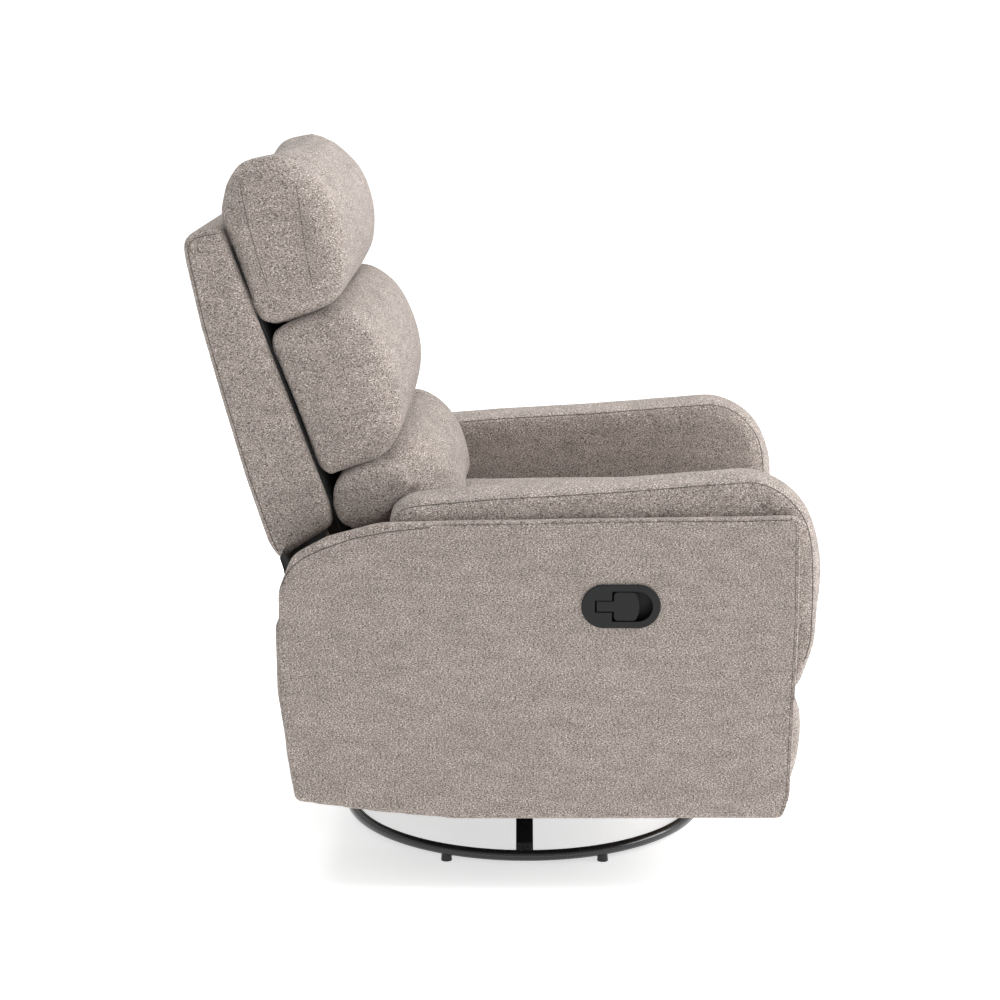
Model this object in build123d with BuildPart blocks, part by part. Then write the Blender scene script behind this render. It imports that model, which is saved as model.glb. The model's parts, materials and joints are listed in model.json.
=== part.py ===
"""A swivel glider recliner for a nursery, in millimetres.

The chair stands on the floor, Z up. The sitter faces -Y, so the sitter's right hand is at -X.
Side-view outlines are given as (forward, up): forward of the swivel axis, above the floor.
"""

import os
from math import cos, radians, sin

from build123d import *

os.makedirs("parts", exist_ok=True)

# ---------------------------------------------------------------- driving dimensions
swivel_y = -29.0  # the swivel axis lies in front of the middle of the chair's depth

seat_half = 264.0  # seat cushion, half width
arm_inner_x = 268.0
arm_outer_x = 368.0
panel_outer_x = 390.0
back_half = 315.0

ring_radius = 270.0
ring_tube = 8.0  # half the tube's thickness
ring_height = 16.5

bearing_radius = 67.5
ball_radius = 5.0
ball_height = 81.0
ball_count = 20
bolt_radius = 8.0
running_clearance = 0.05
hex_radius = 13.0  # the corners of the swivel bolt's head and of its nut

head_thick = 3.0  # heads of pins and rivets
side_play = 0.3  # free space beside a moving bar

link_spread = 110.0  # glide links, forward and behind the swivel axis
link_top = 262.0
link_bottom = 132.0
link_pin = 6.0
bracket_x = (200.0, 204.0)
link_x = (205.0, 210.0)
plate_x = (216.0, 220.0)

recline_pivot = (-250.0, 440.0)
recline_pin = 6.0

foot_pivot = (195.0, 312.0)
foot_link = 180.0
foot_lower_angle = -108.0
foot_upper_angle = 27.5
foot_rivet, rivet_head = 5.0, 8.0
torque_tube = 10.0
foot_lower_x = (221.0, 225.0)
foot_upper_x = (226.0, 230.0)

latch_forward = 130.0
latch_up = 421.5

seat_deck = 392.0  # top of the timber seat rails
spring_wire = 2.0


# ---------------------------------------------------------------- helpers
def at(forward, up):
    """A point of the side view in the sketch plane's own axes, where Y runs backward."""
    return (swivel_y - forward, up)


def slab(outline, x_from, x_to):
    """A flat piece with a side-view outline, from one distance across the chair to another."""
    points = [at(*point) for point in outline]
    with BuildSketch(Plane.YZ.offset(x_from), mode=Mode.PRIVATE) as profile:
        with BuildLine():
            Polyline(*points, close=True)
        make_face()
    extrude(to_extrude=profile.sketch, amount=x_to - x_from)


def rod(centre, radius, x_from, x_to, mode=Mode.ADD):
    """A round bar or bore that runs across the chair."""
    with BuildSketch(Plane.YZ.offset(x_from), mode=Mode.PRIVATE) as profile:
        with Locations(at(*centre)):
            Circle(radius)
    extrude(to_extrude=profile.sketch, amount=x_to - x_from, mode=mode)


def flat_link(start, end, half_width, x_from, x_to):
    """A flat bar with round ends between two pivots."""
    with BuildSketch(Plane.YZ.offset(x_from), mode=Mode.PRIVATE) as profile:
        with BuildLine():
            Line(at(*start), at(*end))
        trace(line_width=2 * half_width)
        with Locations(at(*start), at(*end)):
            Circle(half_width)
    extrude(to_extrude=profile.sketch, amount=x_to - x_from)


def save(builder, name):
    """Labels a finished piece and writes it under its own name."""
    builder.part.label = name
    export_step(builder.part, f"parts/{name}.step")


def along(start, angle, length):
    """The end of a link that leaves a pivot at an angle above straight ahead."""
    return (start[0] + length * cos(radians(angle)), start[1] + length * sin(radians(angle)))


foot_elbow = along(foot_pivot, foot_lower_angle, foot_link)
foot_hinge = along(foot_elbow, foot_upper_angle, foot_link)
sides = (("right", -1), ("left", 1))

# ---------------------------------------------------------------- base: ring, spokes and glides
with BuildPart() as base_ring:
    with BuildSketch(Plane.XZ.offset(-swivel_y)):
        with Locations((ring_radius, ring_height)):
            Circle(ring_tube)
    revolve(axis=Axis((0, swivel_y, 0), (0, 0, 1)))
save(base_ring, "base_ring")

spoke_half = 12.5
spoke_end = ring_radius - ring_tube + 0.6
spoke_profile = [
    (spoke_end, 11.5), (228, 11.5), (110, 56), (32, 56), (32, 66), (113, 66), (231, 21.5), (spoke_end, 21.5),
]
with BuildPart() as base_spokes:
    for quarter in range(4):
        spoke_plane = Plane((0, swivel_y, 0)).rotated((0, 0, 90 * quarter))
        side_plane = Plane(spoke_plane.origin, x_dir=spoke_plane.x_dir, z_dir=-spoke_plane.y_dir)
        with BuildSketch(side_plane):
            with BuildLine():
                Polyline(*spoke_profile, close=True)
            make_face()
        extrude(amount=spoke_half, both=True)
    add(base_ring.part, mode=Mode.SUBTRACT)
save(base_spokes, "base_spokes")

glide_radius, glide_taper = 8.0, 4
glide_angles = (25, 90, 155, 205, 270, 335)
with BuildPart() as floor_glides:
    for angle in glide_angles:
        across, behind = ring_radius * cos(radians(angle)), ring_radius * sin(radians(angle))
        with BuildSketch(Plane.XY):
            with Locations((-across, swivel_y - behind)):
                Circle(glide_radius)
        extrude(amount=ring_height - ring_tube / 2, taper=glide_taper)
    add(base_ring.part, mode=Mode.SUBTRACT)
    add(base_spokes.part, mode=Mode.SUBTRACT)
save(floor_glides, "floor_glides")

# ---------------------------------------------------------------- swivel bearing
hub_bottom, hub_top, hub_radius = 66.0, 72.0, 96.0
race_inner, race_outer = 54.0, 84.0
race_height = 8.0
plate_bottom, plate_top = 90.0, 94.0
axis_plane = Plane((0, swivel_y, 0))

with BuildPart() as hub_plate:
    with BuildSketch(axis_plane.offset(hub_bottom)):
        Circle(hub_radius)
        Circle(bolt_radius, mode=Mode.SUBTRACT)
    extrude(amount=hub_top - hub_bottom)
    fillet(hub_plate.edges().group_by(SortBy.LENGTH)[-1], radius=1)
save(hub_plate, "hub_plate")


def race(bottom):
    """A bearing race: a flat ring with a round groove that the balls run in."""
    with BuildSketch(axis_plane.offset(bottom), mode=Mode.PRIVATE) as ring:
        Circle(race_outer)
        Circle(race_inner, mode=Mode.SUBTRACT)
    extrude(to_extrude=ring.sketch, amount=race_height)
    with BuildSketch(Plane.XZ.offset(-swivel_y), mode=Mode.PRIVATE) as groove:
        with Locations((bearing_radius, ball_height)):
            Circle(ball_radius + running_clearance)
    revolve(groove.sketch, axis=Axis((0, swivel_y, 0), (0, 0, 1)), mode=Mode.SUBTRACT)


with BuildPart() as lower_race:
    race(hub_top)
save(lower_race, "lower_race")

race_bolt, race_bolt_circle, race_bolt_count = 3.0, 78.0, 4
race_bolt_depth = 5.0
with BuildPart() as upper_race:
    race(plate_bottom - race_height)
    with BuildSketch(axis_plane.offset(plate_bottom)):
        with PolarLocations(race_bolt_circle, race_bolt_count, start_angle=45):
            Circle(race_bolt)
    extrude(amount=-race_bolt_depth, mode=Mode.SUBTRACT)
save(upper_race, "upper_race")

cage_half, cage_inner, cage_outer = 0.6, 60.0, 75.0
cage_clearance = 0.1
with BuildPart() as ball_cage:
    with BuildSketch(axis_plane.offset(ball_height - cage_half)):
        Circle(cage_outer)
        Circle(cage_inner, mode=Mode.SUBTRACT)
        with PolarLocations(bearing_radius, ball_count):
            Circle(ball_radius + cage_clearance, mode=Mode.SUBTRACT)
    extrude(amount=2 * cage_half)
save(ball_cage, "ball_cage")

with BuildPart() as bearing_balls:
    with Locations(axis_plane.offset(ball_height)):
        with PolarLocations(bearing_radius, ball_count):
            Sphere(ball_radius)
save(bearing_balls, "bearing_balls")

bolt_head, bolt_length, nut_height = 8.0, 40.0, 9.0
with BuildPart() as swivel_bolt:
    with BuildSketch(axis_plane.offset(hub_bottom - bolt_head)):
        RegularPolygon(hex_radius, 6)
    extrude(amount=bolt_head)
    with BuildSketch(axis_plane.offset(hub_bottom)):
        Circle(bolt_radius)
    extrude(amount=bolt_length)
    chamfer(swivel_bolt.faces().sort_by(Axis.Z)[-1].edges(), length=1)
save(swivel_bolt, "swivel_bolt")

with BuildPart() as swivel_nut:
    with BuildSketch(axis_plane.offset(plate_top + side_play)):
        RegularPolygon(hex_radius, 6)
        Circle(bolt_radius, mode=Mode.SUBTRACT)
    extrude(amount=nut_height)
save(swivel_nut, "swivel_nut")

# ---------------------------------------------------------------- turntable and glider brackets
plate_depth, plate_corner = 300.0, 6.0
with BuildPart() as turntable_plate:
    with BuildSketch(axis_plane.offset(plate_bottom)):
        Rectangle(2 * bracket_x[0], plate_depth)
        Circle(bolt_radius + running_clearance, mode=Mode.SUBTRACT)
        with PolarLocations(race_bolt_circle, race_bolt_count, start_angle=45):
            Circle(race_bolt, mode=Mode.SUBTRACT)
    extrude(amount=plate_top - plate_bottom)
    fillet(turntable_plate.edges().filter_by(Axis.Z).group_by(SortBy.DISTANCE)[-1], radius=plate_corner)
save(turntable_plate, "turntable_plate")

shank_length = race_bolt_depth + plate_top - plate_bottom
race_bolt_head, race_head_height = 5.5, 4.0
with BuildPart() as turntable_bolts:
    with Locations(axis_plane.offset(plate_bottom - race_bolt_depth)):
        with PolarLocations(race_bolt_circle, race_bolt_count, start_angle=45):
            Cylinder(race_bolt, shank_length, align=(Align.CENTER, Align.CENTER, Align.MIN))
    with Locations(axis_plane.offset(plate_top)):
        with PolarLocations(race_bolt_circle, race_bolt_count, start_angle=45):
            Cylinder(race_bolt_head, race_head_height, align=(Align.CENTER, Align.CENTER, Align.MIN))
save(turntable_bolts, "turntable_bolts")

bracket_outline = [(-146, 90), (146, 90), (134, 270), (120, 284), (-120, 284), (-134, 270)]
with BuildPart() as glider_brackets:
    for _, sign in sides:
        slab(bracket_outline, sign * bracket_x[0], sign * bracket_x[1])
    for spread in (-link_spread, link_spread):
        rod((spread, link_top), link_pin, -panel_outer_x, panel_outer_x, Mode.SUBTRACT)
save(glider_brackets, "glider_brackets")

pin_head = 10.0
with BuildPart() as upper_link_pins:
    for _, sign in sides:
        for spread in (-link_spread, link_spread):
            centre = (spread, link_top)
            rod(centre, pin_head, sign * (bracket_x[0] - head_thick), sign * bracket_x[0])
            rod(centre, link_pin, sign * bracket_x[0], sign * (link_x[1] + side_play))
            rod(centre, pin_head, sign * (link_x[1] + side_play), sign * (link_x[1] + side_play + head_thick))
save(upper_link_pins, "upper_link_pins")

link_half = 14.0
for end, spread in (("front", link_spread), ("rear", -link_spread)):
    for side, sign in sides:
        with BuildPart() as glide_link:
            top, bottom = (spread, link_top), (spread, link_bottom)
            flat_link(top, bottom, link_half, sign * link_x[0], sign * link_x[1])
            for centre in (top, bottom):
                rod(centre, link_pin + running_clearance, 0, sign * panel_outer_x, Mode.SUBTRACT)
        save(glide_link, f"glide_link_{end}_{side}")

collar = 9.0
collar_play = 0.5
with BuildPart() as lower_link_pins:
    for _, sign in sides:
        for spread in (-link_spread, link_spread):
            centre = (spread, link_bottom)
            rod(centre, link_pin, sign * (bracket_x[1] + collar_play), sign * plate_x[1])
            rod(centre, collar, sign * (link_x[1] + collar_play), sign * plate_x[0])
            rod(centre, collar, sign * plate_x[1], sign * (plate_x[1] + head_thick))
save(lower_link_pins, "lower_link_pins")

# ---------------------------------------------------------------- recliner mechanism
mechanism_outline = [
    (-138, 118), (138, 118), (152, 150), (228, 296), (236, 330), (230, 385), (-195, 385),
    (-228, 452), (-240, 461), (-256, 461), (-267, 448), (-266, 430), (-212, 335),
]
rail_bolt, rail_bolt_head = 4.0, 7.0
rail_bolt_tip = 242.0  # how far across the chair the bolts reach into the seat rails
rail_bolt_spots = ((-160, 370), (30, 370), (200, 370))
tube_spots = ((150, 345), (-170, 345))
cross_tube = 10.0
tube_wall = 2.0

for side, sign in sides:
    with BuildPart() as mechanism_plate:
        slab(mechanism_outline, sign * plate_x[0], sign * plate_x[1])
        for spread in (-link_spread, link_spread):
            rod((spread, link_bottom), link_pin, 0, sign * panel_outer_x, Mode.SUBTRACT)
        rod(recline_pivot, recline_pin, 0, sign * panel_outer_x, Mode.SUBTRACT)
        rod(foot_pivot, torque_tube + running_clearance, 0, sign * panel_outer_x, Mode.SUBTRACT)
        for spot in rail_bolt_spots:
            rod(spot, rail_bolt, 0, sign * panel_outer_x, Mode.SUBTRACT)
    save(mechanism_plate, f"mechanism_plate_{side}")

with BuildPart() as cross_tubes:
    for spot in tube_spots:
        rod(spot, cross_tube, -plate_x[0], plate_x[0])
        rod(spot, cross_tube - tube_wall, -plate_x[0], plate_x[0], Mode.SUBTRACT)
save(cross_tubes, "cross_tubes")

with BuildPart() as recline_pins:
    for _, sign in sides:
        rod(recline_pivot, pin_head, sign * (plate_x[0] - head_thick), sign * plate_x[0])
        rod(recline_pivot, recline_pin, sign * plate_x[0], sign * (foot_lower_x[1] + side_play))
        rod(recline_pivot, pin_head, sign * (foot_lower_x[1] + side_play),
            sign * (foot_lower_x[1] + head_thick))
save(recline_pins, "recline_pins")

# ---------------------------------------------------------------- seat
rail_x = (220.5, 250.0)
rail_bottom = 352.0
with BuildPart() as seat_rails:
    for _, sign in sides:
        slab([(-200, rail_bottom), (300, rail_bottom), (300, seat_deck), (-200, seat_deck)],
             sign * rail_x[0], sign * rail_x[1])
        for spot in rail_bolt_spots:
            rod(spot, rail_bolt, sign * rail_x[0], sign * rail_bolt_tip, Mode.SUBTRACT)
save(seat_rails, "seat_rails")

with BuildPart() as seat_cross_rails:
    for rear, front in ((-200, -178), (276, 300)):
        slab([(rear, rail_bottom + 6), (front, rail_bottom + 6), (front, seat_deck), (rear, seat_deck)],
             -plate_x[0], plate_x[0])
save(seat_cross_rails, "seat_cross_rails")

with BuildPart() as rail_bolts:
    for _, sign in sides:
        for spot in rail_bolt_spots:
            rod(spot, rail_bolt_head, sign * (plate_x[0] - head_thick), sign * plate_x[0])
            rod(spot, rail_bolt, sign * plate_x[0], sign * rail_bolt_tip)
save(rail_bolts, "rail_bolts")

spring_rows = (-156.0, -52.0, 52.0, 156.0)
spring_amplitude, spring_pitch, spring_waves = 22.0, 34.0, 6
spring_height = seat_deck + spring_wire
spring_start = swivel_y + 196.0
spring_bend = 9.0
with BuildPart() as seat_springs:
    for row in spring_rows:
        turns = [(row, spring_start), (row, spring_start - 20)]
        for wave in range(2 * spring_waves + 1):
            swing = spring_amplitude if wave % 2 else -spring_amplitude
            turns.append((row + swing, spring_start - 38 - wave * spring_pitch))
        turns.append((row, turns[-1][1] - 18))
        turns.append((row, swivel_y - 298))
        with BuildLine(Plane.XY.offset(spring_height)) as wire:
            FilletPolyline(*turns, radius=spring_bend)
        with BuildSketch(Plane(wire.line @ 0, z_dir=wire.line % 0)):
            Circle(spring_wire)
        sweep(path=wire.line)
save(seat_springs, "seat_springs")

seat_outline = [
    (-188, 397), (304, 397), (306, 324), (346, 308), (372, 306), (391, 340), (397, 390), (390, 444),
    (352, 472), (250, 476), (0, 473), (-188, 470),
]
with BuildPart() as seat_cushion:
    slab(seat_outline, -seat_half, seat_half)
    fillet(seat_cushion.faces().filter_by(Axis.X).edges().group_by(Axis.Z)[-1], radius=12)
save(seat_cushion, "seat_cushion")

bearer_end = 346.0
with BuildPart() as arm_bearers:
    for _, sign in sides:
        for rear, front in ((-190, -150), (246, 290)):
            slab([(rear, rail_bottom), (front, rail_bottom), (front, seat_deck), (rear, seat_deck)],
                 sign * rail_x[1], sign * bearer_end)
save(arm_bearers, "arm_bearers")

# ---------------------------------------------------------------- arms and side panels
arm_board_x = (346.0, 366.0)
arm_board_outline = [
    (-300, 150), (-200, 128), (308, 128), (308, 310), (342, 310), (342, 500), (-150, 500),
    (-250, 486), (-300, 440),
]
cable_hole, cable_hole_radius = (112.0, 421.5), 6.0
for side, sign in sides:
    with BuildPart() as arm_board:
        slab(arm_board_outline, sign * arm_board_x[0], sign * arm_board_x[1])
        if side == "right":
            rod(cable_hole, cable_hole_radius, sign * arm_board_x[0], sign * arm_board_x[1],
                Mode.SUBTRACT)
    save(arm_board, f"arm_board_{side}")

arm_crown = [
    (-182, 552), (-150, 561), (-77, 570), (35, 578), (171, 587), (267, 595), (302, 596),
    (335, 591), (366, 575), (390, 548), (402, 515), (405, 484),
]
crown_round = 18.0
for side, sign in sides:
    with BuildPart() as arm_top_pad:
        with BuildSketch(Plane.YZ.offset(sign * arm_inner_x)):
            with BuildLine():
                Spline(*[at(*point) for point in arm_crown])
                Polyline(at(405, 484), at(344, 484), at(344, 502), at(-189, 502), at(-189, 534),
                         at(-182, 552))
            make_face()
        extrude(amount=sign * (arm_outer_x - arm_inner_x))
        crown_edges = arm_top_pad.faces().filter_by(Axis.X).edges().filter_by(GeomType.BSPLINE)
        fillet(crown_edges, radius=crown_round)
    save(arm_top_pad, f"arm_top_pad_{side}")

inner_pad_outline = [(-189, 396), (342, 396), (342, 501), (-189, 501)]
inner_pad_thick = 24.0
with BuildPart() as arm_inner_pads:
    for _, sign in sides:
        slab(inner_pad_outline, sign * arm_inner_x, sign * (arm_inner_x + inner_pad_thick))
save(arm_inner_pads, "arm_inner_pads")

arm_front_outline = [
    (344, 303), (378, 298), (392, 318), (404, 352), (408, 398), (407, 441), (404, 483), (344, 483),
]
with BuildPart() as arm_front_pads:
    for _, sign in sides:
        slab(arm_front_outline, sign * arm_inner_x, sign * arm_outer_x)
    fillet(arm_front_pads.faces().filter_by(Axis.X).edges().group_by(Axis.Y)[0], radius=10)
save(arm_front_pads, "arm_front_pads")

panel_rear = [(-312, 143), (-321, 158), (-332, 250), (-338, 380), (-336, 440), (-327, 472)]
panel_shoulder = [(-327, 472), (-306, 497), (-275, 513), (-230, 526), (-177, 534), (-110, 537)]
cup_length, cup_height = 98.0, 51.0
latch_plane = Plane(
    (-panel_outer_x, swivel_y - latch_forward, latch_up), x_dir=(0, -1, 0), z_dir=(-1, 0, 0)
)
for side, sign in sides:
    with BuildPart() as side_panel:
        with BuildSketch(Plane.YZ.offset(sign * arm_outer_x)):
            with BuildLine():
                Spline(*[at(*point) for point in panel_shoulder])
                Polyline(at(-110, 537), at(360, 545), at(371, 536), at(373, 400), at(366, 135),
                         at(354, 117), at(-100, 115), at(-200, 124), at(-312, 143))
                Spline(*[at(*point) for point in panel_rear])
            make_face()
        extrude(amount=sign * (panel_outer_x - arm_outer_x))
        if side == "right":
            with BuildSketch(latch_plane):
                SlotOverall(cup_length, cup_height)
            extrude(amount=arm_outer_x - panel_outer_x, mode=Mode.SUBTRACT)
    save(side_panel, f"side_panel_{side}")

with BuildPart() as rear_skirt:
    slab([(-312, 150), (-320, 150), (-335, 385), (-327, 391)], -arm_outer_x + 1, arm_outer_x - 1)
save(rear_skirt, "rear_skirt")

with BuildPart() as dust_covers:
    for _, sign in sides:
        slab([(-290, 124), (308, 124), (345, 118), (345, 116), (-180, 116), (-290, 122)],
             sign * 236, sign * 366)
save(dust_covers, "dust_covers")

# ---------------------------------------------------------------- release latch
bezel_length, bezel_height, bezel_thick = 108.0, 61.0, 2.5
cup_wall, cup_depth = 2.0, 20.0
stem_half, blade_half = 7.0, 19.8
latch_gap = 1.5
shoulder_gap = 2.8  # the blade's rear shoulders swing back as the paddle opens
tail_gap = 2.5  # and so does the end of its stem, behind the hinge
hinge_offset = -31.0  # the paddle's hinge, behind the middle of the bezel
stem_start, blade_start, blade_end = -33.0, -9.5, 25.0
well_end = 43.5  # the front end of the finger well
hinge_pin, hinge_depth, pin_half = 1.5, 4.0, 18.0
ear_length, ear_width, ear_depth = 10.0, 8.0, 9.0  # the two ears that hold the hinge pin
ear_spot = stem_half + 1 + ear_width / 2
with BuildPart() as latch_bezel:
    with BuildSketch(latch_plane):
        SlotOverall(bezel_length, bezel_height)
    extrude(amount=bezel_thick)
    fillet(latch_bezel.faces().sort_by(Axis.X)[0].edges(), radius=1.5)
    with BuildSketch(latch_plane):
        SlotOverall(cup_length, cup_height)
        SlotOverall(cup_length - 2 * cup_wall, cup_height - 2 * cup_wall, mode=Mode.SUBTRACT)
    extrude(amount=-cup_depth)
    with BuildSketch(latch_plane.offset(-cup_depth)):
        SlotOverall(cup_length, cup_height)
    extrude(amount=cup_wall)
    with BuildSketch(latch_plane):
        with Locations((hinge_offset, ear_spot), (hinge_offset, -ear_spot)):
            Rectangle(ear_length, ear_width)
    extrude(amount=-ear_depth)
    with BuildSketch(latch_plane):
        with BuildLine():
            well_half = blade_half + latch_gap
            Polyline((well_end - well_half, well_half), (blade_start - shoulder_gap, well_half),
                     (blade_start - shoulder_gap, -well_half), (well_end - well_half, -well_half))
            ThreePointArc((well_end - well_half, -well_half), (well_end, 0),
                          (well_end - well_half, well_half))
        make_face()
        with Locations(((stem_start - tail_gap + blade_start) / 2, 0)):
            Rectangle(blade_start - stem_start + tail_gap, 2 * (stem_half + latch_gap))
    extrude(amount=bezel_thick, mode=Mode.SUBTRACT)
    pin_foot = latch_plane.from_local_coords((hinge_offset, -pin_half, -hinge_depth))
    pin_line = Plane(pin_foot, z_dir=(0, 0, 1))
    with BuildSketch(pin_line, mode=Mode.PRIVATE) as pin_bore:
        Circle(hinge_pin)
    extrude(to_extrude=pin_bore.sketch, amount=2 * pin_half, mode=Mode.SUBTRACT)
save(latch_bezel, "latch_bezel")

with BuildPart() as latch_pin:
    with BuildSketch(pin_line):
        Circle(hinge_pin)
    extrude(amount=2 * pin_half)
save(latch_pin, "latch_pin")

paddle_thick, paddle_proud = 4.0, 1.5
stem_overlap = 1.0  # the stem runs this far under the blade
barrel = 3.2
blade_corner = 5.5
with BuildPart() as latch_paddle:
    with BuildSketch(latch_plane.offset(paddle_proud - paddle_thick)):
        with Locations(((stem_start + blade_start + stem_overlap) / 2, 0)):
            Rectangle(blade_start + stem_overlap - stem_start, 2 * stem_half)
        with BuildLine():
            Polyline((blade_end - blade_corner, blade_half), (blade_start, blade_half),
                     (blade_start, -blade_half), (blade_end - blade_corner, -blade_half))
            ThreePointArc((blade_end - blade_corner, -blade_half), (blade_end, 0),
                          (blade_end - blade_corner, blade_half))
        make_face()
    extrude(amount=paddle_thick)
    blade_corners = latch_paddle.edges().filter_by(Axis.X).group_by(SortBy.LENGTH)[-1]
    outer_corners = [edge for edge in blade_corners if abs(edge.center().Z - latch_up) > stem_half + 1]
    fillet(outer_corners, radius=blade_corner)
    barrel_foot = latch_plane.from_local_coords((hinge_offset, -stem_half, -hinge_depth))
    barrel_plane = Plane(barrel_foot, z_dir=(0, 0, 1))
    with BuildSketch(barrel_plane):
        Circle(barrel)
    extrude(amount=2 * stem_half)
    with BuildSketch(barrel_plane):
        Circle(hinge_pin + running_clearance)
    extrude(amount=2 * stem_half, mode=Mode.SUBTRACT)
save(latch_paddle, "latch_paddle")

cable_radius, cable_bend = 2.5, 20.0
cable_route = [
    (-366, 421.5, 112), (-318, 421.5, 112), (-306, 330, 90), (-285, 300, 60), (-220.4, 300, 60),
]
with BuildPart() as release_cable:
    with BuildLine() as cable_line:
        FilletPolyline(*[(x, swivel_y - forward, up) for x, up, forward in cable_route], radius=cable_bend)
    with BuildSketch(Plane(cable_line.line @ 0, z_dir=cable_line.line % 0)):
        Circle(cable_radius)
    sweep(path=cable_line.line)
save(release_cable, "release_cable")

# ---------------------------------------------------------------- back
back_front_low, back_front_high = (-272, 542), (-405, 908)
back_rear_low, back_rear_high = (-345, 466), (-466, 903)
back_lean = (back_front_high[0] - back_front_low[0]) / (back_front_high[1] - back_front_low[1])


def inside_back(up, depth):
    """A point inside the back at a height, a distance behind its front face."""
    return (back_front_low[0] + (up - back_front_low[1]) * back_lean - depth, up)


back_outline = [
    back_rear_low, (-358, 484), (-388, 580), (-419, 693), (-445, 793), (-463, 880), back_rear_high,
    (-454, 920), (-418, 928), back_front_high, back_front_low, (-272, 516), (-300, 496), (-328, 476),
]
border_inner = 293.0
with BuildPart() as back_border:
    for _, sign in sides:
        slab(back_outline, sign * border_inner, sign * back_half)
    slab([(-463, 902), back_rear_high, (-454, 920), (-418, 928), back_front_high, inside_back(902, 0)],
         -border_inner, border_inner)
save(back_border, "back_border")

rear_outline = [
    back_rear_low, (-358, 484), (-388, 580), (-419, 693), (-445, 793), (-463, 880), (-465, 901),
    (-444, 901), (-441, 876), (-424, 790), (-398, 689), (-367, 577), (-338, 484), (-330, 478),
]
with BuildPart() as back_rear_panel:
    slab(rear_outline, -border_inner, border_inner)
save(back_rear_panel, "back_rear_panel")

board_thick = 9.0
with BuildPart() as back_board:
    slab([inside_back(530, 0.5), inside_back(900, 0.5), inside_back(900, board_thick),
          inside_back(530, board_thick)], -border_inner + 1, border_inner - 1)
save(back_board, "back_board")

stile_x = (225.5, 250.0)
frame_depth = (10.0, 42.0)
rail_levels, rail_width, rail_thick = (545, 700, 850), 38, 24
rail_half = foot_lower_x[0] - 0.5  # the brackets lie between these rails and the stiles
with BuildPart() as back_frame:
    for _, sign in sides:
        slab([inside_back(540, frame_depth[0]), inside_back(890, frame_depth[0]),
              inside_back(890, frame_depth[1]), inside_back(540, frame_depth[1])],
             sign * stile_x[0], sign * stile_x[1])
    for up in rail_levels:
        slab([inside_back(up, frame_depth[0]), inside_back(up + rail_width, frame_depth[0]),
              inside_back(up + rail_width, frame_depth[0] + rail_thick),
              inside_back(up, frame_depth[0] + rail_thick)],
             -rail_half, rail_half)
save(back_frame, "back_frame")

back_bracket_outline = [
    (-263, 438), (-256, 428), (-244, 428), (-238, 438), (-242, 480), (-262, 519), (-280, 527),
    (-292, 560), (-314, 620), (-338, 620), (-318, 560), (-290, 512),
]
with BuildPart() as back_brackets:
    for _, sign in sides:
        slab(back_bracket_outline, sign * foot_lower_x[0], sign * foot_lower_x[1])
    rod(recline_pivot, recline_pin + running_clearance, -panel_outer_x, panel_outer_x, Mode.SUBTRACT)
save(back_brackets, "back_brackets")

pillow_half = 311.0
headrest_round, middle_round = 14.0, 11.0
headrest_outline = [
    (-398, 1004), (-374, 1027), (-340, 1036), (-306, 1037), (-274, 1018), (-246, 975), (-231, 925),
    (-232, 882), (-250, 841), (-274, 822), (-320, 806), (-352, 803), (-378, 850), (-398, 912),
    (-410, 940), (-408, 965),
]
with BuildPart() as headrest_pillow:
    slab(headrest_outline, -pillow_half, pillow_half)
    fillet(headrest_pillow.faces().filter_by(Axis.X).edges(), radius=headrest_round)
save(headrest_pillow, "headrest_pillow")

middle_outline = [
    (-341, 783), (-322, 796), (-272, 816), (-246, 835), (-217, 822), (-182, 776), (-160, 718), (-162, 680),
    (-176, 655), (-194, 630), (-218, 606), (-256, 592), (-279, 596), (-312, 690), (-336, 760),
]
with BuildPart() as middle_pillow:
    slab(middle_outline, -pillow_half, pillow_half)
    fillet(middle_pillow.faces().filter_by(Axis.X).edges(), radius=middle_round)
save(middle_pillow, "middle_pillow")

lumbar_front_outline = [
    (-262, 580), (-250, 586), (-215, 600), (-190, 624), (-170, 650), (-154, 652), (-134, 634),
    (-108, 594), (-92, 535), (-88, 500), (-96, 477), (-234, 477), (-238, 512), (-260, 546),
]
lumbar_ear_outline = [
    (-262, 580), (-250, 586), (-215, 600), (-197, 612), (-194, 523), (-240, 512), (-260, 546),
]
with BuildPart() as lumbar_pillow:
    slab(lumbar_front_outline, -seat_half, seat_half)
    for _, sign in sides:
        slab(lumbar_ear_outline, sign * seat_half, sign * pillow_half)
save(lumbar_pillow, "lumbar_pillow")

# ---------------------------------------------------------------- footrest
foot_link_half, link_eye = 12.0, 16.0
with BuildPart() as footrest_torque_tube:
    rod(foot_pivot, torque_tube, -foot_lower_x[1], foot_lower_x[1])
    rod(foot_pivot, torque_tube - tube_wall, -foot_lower_x[1], foot_lower_x[1], Mode.SUBTRACT)
save(footrest_torque_tube, "footrest_torque_tube")

with BuildPart() as footrest_lower_links:
    for _, sign in sides:
        flat_link(foot_pivot, foot_elbow, foot_link_half, sign * foot_lower_x[0], sign * foot_lower_x[1])
        rod(foot_pivot, link_eye, sign * foot_lower_x[0], sign * foot_lower_x[1])
    rod(foot_pivot, torque_tube, -panel_outer_x, panel_outer_x, Mode.SUBTRACT)
    rod(foot_elbow, foot_rivet, -panel_outer_x, panel_outer_x, Mode.SUBTRACT)
save(footrest_lower_links, "footrest_lower_links")

with BuildPart() as footrest_upper_links:
    for _, sign in sides:
        flat_link(foot_elbow, foot_hinge, foot_link_half, sign * foot_upper_x[0], sign * foot_upper_x[1])
    for centre in (foot_elbow, foot_hinge):
        rod(centre, foot_rivet + running_clearance, -panel_outer_x, panel_outer_x, Mode.SUBTRACT)
save(footrest_upper_links, "footrest_upper_links")


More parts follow.
